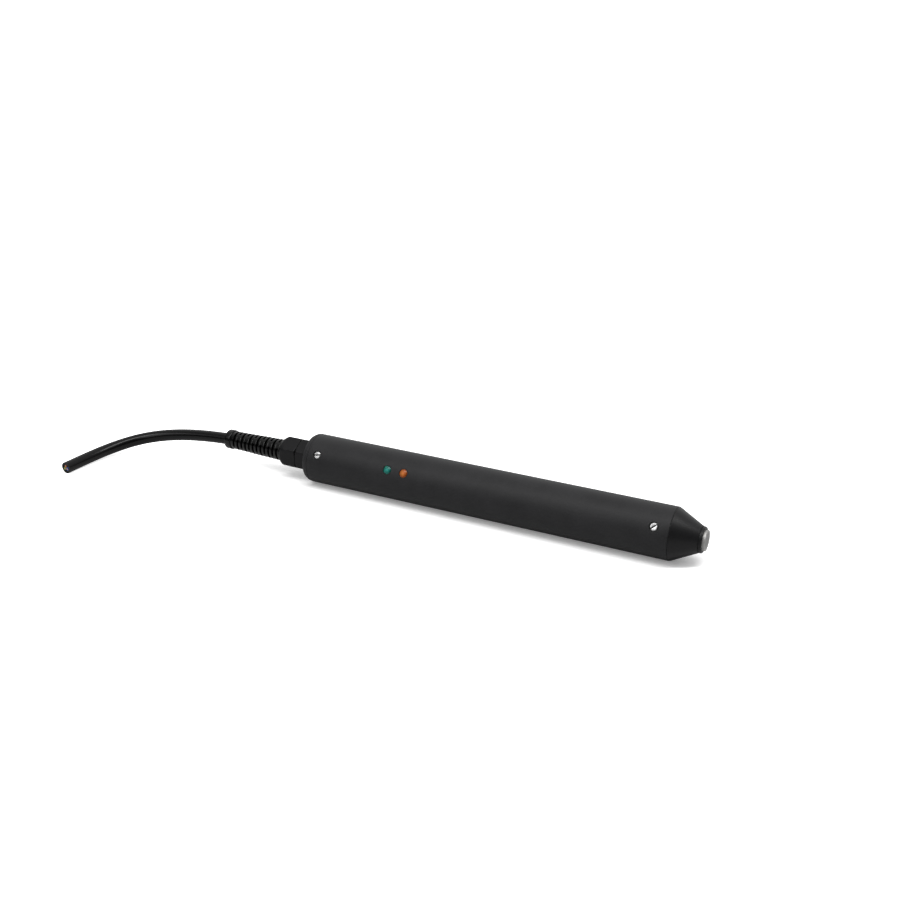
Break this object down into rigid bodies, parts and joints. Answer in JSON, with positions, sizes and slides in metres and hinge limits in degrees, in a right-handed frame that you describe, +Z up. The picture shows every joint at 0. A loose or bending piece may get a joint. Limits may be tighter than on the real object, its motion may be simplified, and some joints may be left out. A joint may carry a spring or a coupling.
{
  "type": "corded heated-tip handpiece",
  "caption": "Round black handpiece with a tapered nose, a flat heated metal tip, two indicator lamps, and a cable that leaves through a screwed gland and a flexible boot.",
  "frame": {"origin": "centre of the flat metal tip face, on the barrel's axis", "axes": "+X along the barrel's axis, out of the nose; +Z up as the tool lies on a table; -Y is the side that the lamps and the slotted screws face, 33 degrees above the horizontal"},
  "size_m": [0.395, 0.0783, 0.0299],
  "materials": {
    "black_plastic": "satin",
    "nose_plastic": "satin",
    "gland_nylon": "satin",
    "boot_rubber": "matte",
    "cable_jacket": "satin",
    "seal_rubber": "matte",
    "nickel": "satin",
    "steel": "polished",
    "brass": "satin",
    "resistance_wire": "satin",
    "ceramic": "matte",
    "green_lens": "gloss",
    "orange_lens": "gloss",
    "led_epoxy": "gloss",
    "board_green": "satin",
    "chip_black": "matte",
    "terminal_green": "satin",
    "capacitor_sleeve": "gloss",
    "grey_plastic": "matte",
    "brown_insulation": "satin",
    "blue_insulation": "satin",
    "green_yellow_insulation": "satin",
    "white_sleeve": "matte"
  },
  "bodies": {
    "handpiece": {"barrel": "black_plastic", "nose_cone": "nose_plastic", "rear_plug": "black_plastic", "nose_screw": "steel", "rear_screw": "steel", "nose_screw_far": "steel", "rear_screw_far": "steel", "orange_lens": "orange_lens", "green_lens": "green_lens", "orange_led": "led_epoxy", "green_led": "led_epoxy", "circuit_board": "board_green", "board_carrier": "grey_plastic", "board_screw_front": "steel", "board_screw_rear": "steel", "heater_terminal": "terminal_green", "supply_terminal": "terminal_green", "controller_chip": "chip_black", "power_transistor": "chip_black", "smoothing_capacitor": "capacitor_sleeve", "heater_lead_left": "white_sleeve", "heater_lead_right": "white_sleeve", "sensor_lead": "blue_insulation", "core_brown": "brown_insulation", "core_earth": "green_yellow_insulation", "core_blue": "blue_insulation", "heated_tip": "nickel", "heat_bush": "ceramic", "retaining_ring": "brass", "tip_nut": "brass", "heater_core": "ceramic", "heater_coil": "resistance_wire", "temperature_sensor": "ceramic", "gland_body": "gland_nylon", "gland_o_ring": "seal_rubber", "gland_seal": "seal_rubber", "clamp_claw": "grey_plastic"},
    "cable_boot": {"boot_base": "boot_rubber", "cable_inlet": "cable_jacket"},
    "gland_nut": {"gland_nut": "gland_nylon"},
    "boot_link": {"boot_middle": "boot_rubber"},
    "cable_inner": {"boot_tail": "boot_rubber", "cable_near": "cable_jacket"},
    "cable_outer": {"cable_far": "cable_jacket", "outer_core_brown": "brown_insulation", "outer_core_earth": "green_yellow_insulation", "outer_core_blue": "blue_insulation"}
  },
  "joints": [
    {"name": "gland_travel", "type": "slide", "parent": "handpiece", "child": "cable_boot", "axis": [-1, 0, 0], "range_m": [0, 0.003]},
    {"name": "gland_nut_turn", "type": "hinge", "parent": "cable_boot", "child": "gland_nut", "pos_m": [-0.2618, 0, 0], "axis": [-1, 0, 0], "range_deg": [0, 720]},
    {"name": "boot_swing", "type": "hinge", "parent": "cable_boot", "child": "boot_link", "pos_m": [-0.279, 0, 0], "axis": [0, 0, 1], "range_deg": [-30, 30], "stiffness_Nm_per_rad": 0.15},
    {"name": "boot_lift", "type": "hinge", "parent": "boot_link", "child": "cable_inner", "pos_m": [-0.298, 0, 0], "axis": [0, 1, 0], "range_deg": [0, 30], "stiffness_Nm_per_rad": 0.15},
    {"name": "cable_curl", "type": "hinge", "parent": "cable_inner", "child": "cable_outer", "pos_m": [-0.36926, -0.01255, -0.00595], "axis": [0, 0, 1], "range_deg": [-35, 40], "stiffness_Nm_per_rad": 0.04}
  ],
  "couplings": [
    {"joint": "gland_nut_turn", "follows": "gland_travel", "rad_per_m": 4188.8}
  ]
}
